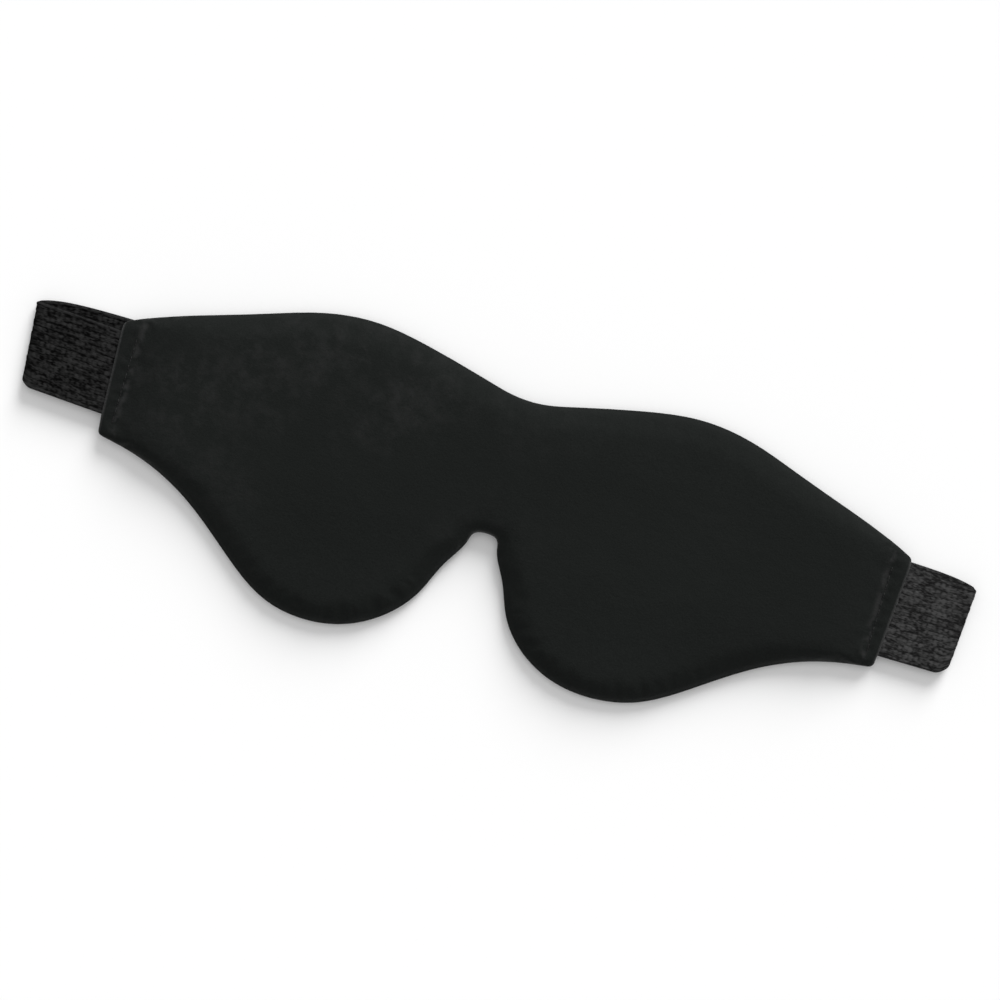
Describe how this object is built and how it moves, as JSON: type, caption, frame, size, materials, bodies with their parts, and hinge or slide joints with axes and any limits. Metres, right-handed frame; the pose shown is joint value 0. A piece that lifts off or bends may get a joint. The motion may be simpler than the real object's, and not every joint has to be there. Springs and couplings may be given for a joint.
{
  "type": "eye mask",
  "caption": "Padded mask that covers both eyes, with a nose notch and an elastic strap that folds flat behind it.",
  "frame": {"origin": "on the resting plane, under the nose bridge, on the underside of the folded strap", "axes": "+X to the mask's right end seen from the front, +Y to the forehead edge, +Z out of the front face"},
  "size_m": [0.2635, 0.0814, 0.0061],
  "materials": {
    "suede": "matte brushed microfibre, soft nap",
    "lining": "smooth matte knit",
    "foam": "open-cell foam",
    "elastic": "ribbed woven elastic",
    "thread": "twisted polyester thread"
  },
  "bodies": {
    "mask": {"front_panel": "suede", "foam_core": "foam", "lining_panel": "lining", "edge_seam_thread": "thread", "left_end_stitching": "thread", "right_end_stitching": "thread", "elastic_left_sewn_end": "elastic", "elastic_right_sewn_end": "elastic"},
    "strap_left_lead": {"elastic_left_lead": "elastic"},
    "strap_left_fold": {"elastic_left_fold": "elastic"},
    "strap_left_back_1": {"elastic_left_back_1": "elastic"},
    "strap_left_back_2": {"elastic_left_back_2": "elastic"},
    "strap_left_back_3": {"elastic_left_back_3": "elastic"},
    "strap_left_back_4": {"elastic_left_back_4": "elastic"},
    "strap_left_back_5": {"elastic_left_back_5": "elastic"},
    "strap_left_middle": {"elastic_left_middle": "elastic"},
    "strap_right_lead": {"elastic_right_lead": "elastic"},
    "strap_right_fold": {"elastic_right_fold": "elastic"},
    "strap_right_back_1": {"elastic_right_back_1": "elastic"},
    "strap_right_back_2": {"elastic_right_back_2": "elastic"},
    "strap_right_back_3": {"elastic_right_back_3": "elastic"},
    "strap_right_back_4": {"elastic_right_back_4": "elastic"},
    "strap_right_back_5": {"elastic_right_back_5": "elastic"},
    "strap_right_middle": {"elastic_right_middle": "elastic"}
  },
  "joints": [
    {"name": "strap_open", "type": "hinge", "parent": "mask", "child": "strap_left_lead", "pos_m": [-0.111, 0.001, 0.0025], "axis": [0, -1, 0], "range_deg": [0, 94]},
    {"name": "strap_left_bend_1", "type": "hinge", "parent": "strap_left_lead", "child": "strap_left_fold", "pos_m": [-0.1321, 0.001, 0.0038], "axis": [0, -1, 0], "range_deg": [-78.24, 0.2]},
    {"name": "strap_left_bend_2", "type": "hinge", "parent": "strap_left_fold", "child": "strap_left_back_1", "pos_m": [-0.1321, 0.001, 0], "axis": [0, -1, 0], "range_deg": [-78.24, 0.2]},
    {"name": "strap_left_bend_3", "type": "hinge", "parent": "strap_left_back_1", "child": "strap_left_back_2", "pos_m": [-0.11048, 0.001, 0.0013], "axis": [0, -1, 0], "range_deg": [-0.2, 20.45]},
    {"name": "strap_left_bend_4", "type": "hinge", "parent": "strap_left_back_2", "child": "strap_left_back_3", "pos_m": [-0.08886, 0.001, 0.0013], "axis": [0, -1, 0], "range_deg": [-0.2, 15.87]},
    {"name": "strap_left_bend_5", "type": "hinge", "parent": "strap_left_back_3", "child": "strap_left_back_4", "pos_m": [-0.06724, 0.001, 0.0013], "axis": [0, -1, 0], "range_deg": [-0.2, 11.71]},
    {"name": "strap_left_bend_6", "type": "hinge", "parent": "strap_left_back_4", "child": "strap_left_back_5", "pos_m": [-0.04562, 0.001, 0.0013], "axis": [0, -1, 0], "range_deg": [-0.2, 8.51]},
    {"name": "strap_left_bend_7", "type": "hinge", "parent": "strap_left_back_5", "child": "strap_left_middle", "pos_m": [-0.024, 0.001, 0.0013], "axis": [0, -1, 0], "range_deg": [-0.2, 6.54]},
    {"name": "strap_right_seam_hinge", "type": "hinge", "parent": "mask", "child": "strap_right_lead", "pos_m": [0.111, 0.001, 0.0025], "axis": [0, 1, 0], "range_deg": [-0.2, 96.69]},
    {"name": "strap_right_bend_1", "type": "hinge", "parent": "strap_right_lead", "child": "strap_right_fold", "pos_m": [0.1276, 0.001, 0.0038], "axis": [0, 1, 0], "range_deg": [-80.41, 0.2]},
    {"name": "strap_right_bend_2", "type": "hinge", "parent": "strap_right_fold", "child": "strap_right_back_1", "pos_m": [0.1276, 0.001, 0], "axis": [0, 1, 0], "range_deg": [-80.41, 0.2]},
    {"name": "strap_right_bend_3", "type": "hinge", "parent": "strap_right_back_1", "child": "strap_right_back_2", "pos_m": [0.10688, 0.001, 0.0013], "axis": [0, 1, 0], "range_deg": [-0.2, 17.6]},
    {"name": "strap_right_bend_4", "type": "hinge", "parent": "strap_right_back_2", "child": "strap_right_back_3", "pos_m": [0.08616, 0.001, 0.0013], "axis": [0, 1, 0], "range_deg": [-0.2, 14.65]},
    {"name": "strap_right_bend_5", "type": "hinge", "parent": "strap_right_back_3", "child": "strap_right_back_4", "pos_m": [0.06544, 0.001, 0.0013], "axis": [0, 1, 0], "range_deg": [-0.2, 12.06]},
    {"name": "strap_right_bend_6", "type": "hinge", "parent": "strap_right_back_4", "child": "strap_right_back_5", "pos_m": [0.04472, 0.001, 0.0013], "axis": [0, 1, 0], "range_deg": [-0.2, 10.53]},
    {"name": "strap_right_bend_7", "type": "hinge", "parent": "strap_right_back_5", "child": "strap_right_middle", "pos_m": [0.024, 0.001, 0.0013], "axis": [0, 1, 0], "range_deg": [-0.2, 10.09]}
  ],
  "couplings": [
    {"joint": "strap_left_bend_1", "follows": "strap_open", "ratio": -0.83022},
    {"joint": "strap_left_bend_2", "follows": "strap_open", "ratio": -0.83024},
    {"joint": "strap_left_bend_3", "follows": "strap_open", "ratio": 0.21545},
    {"joint": "strap_left_bend_4", "follows": "strap_open", "ratio": 0.16674},
    {"joint": "strap_left_bend_5", "follows": "strap_open", "ratio": 0.12244},
    {"joint": "strap_left_bend_6", "follows": "strap_open", "ratio": 0.088428},
    {"joint": "strap_left_bend_7", "follows": "strap_open", "ratio": 0.067402},
    {"joint": "strap_right_seam_hinge", "follows": "strap_open", "ratio": 1.0265},
    {"joint": "strap_right_bend_1", "follows": "strap_open", "ratio": -0.8533},
    {"joint": "strap_right_bend_2", "follows": "strap_open", "ratio": -0.8533},
    {"joint": "strap_right_bend_3", "follows": "strap_open", "ratio": 0.18515},
    {"joint": "strap_right_bend_4", "follows": "strap_open", "ratio": 0.15372},
    {"joint": "strap_right_bend_5", "follows": "strap_open", "ratio": 0.12615},
    {"joint": "strap_right_bend_6", "follows": "strap_open", "ratio": 0.10987},
    {"joint": "strap_right_bend_7", "follows": "strap_open", "ratio": 0.10525}
  ]
}
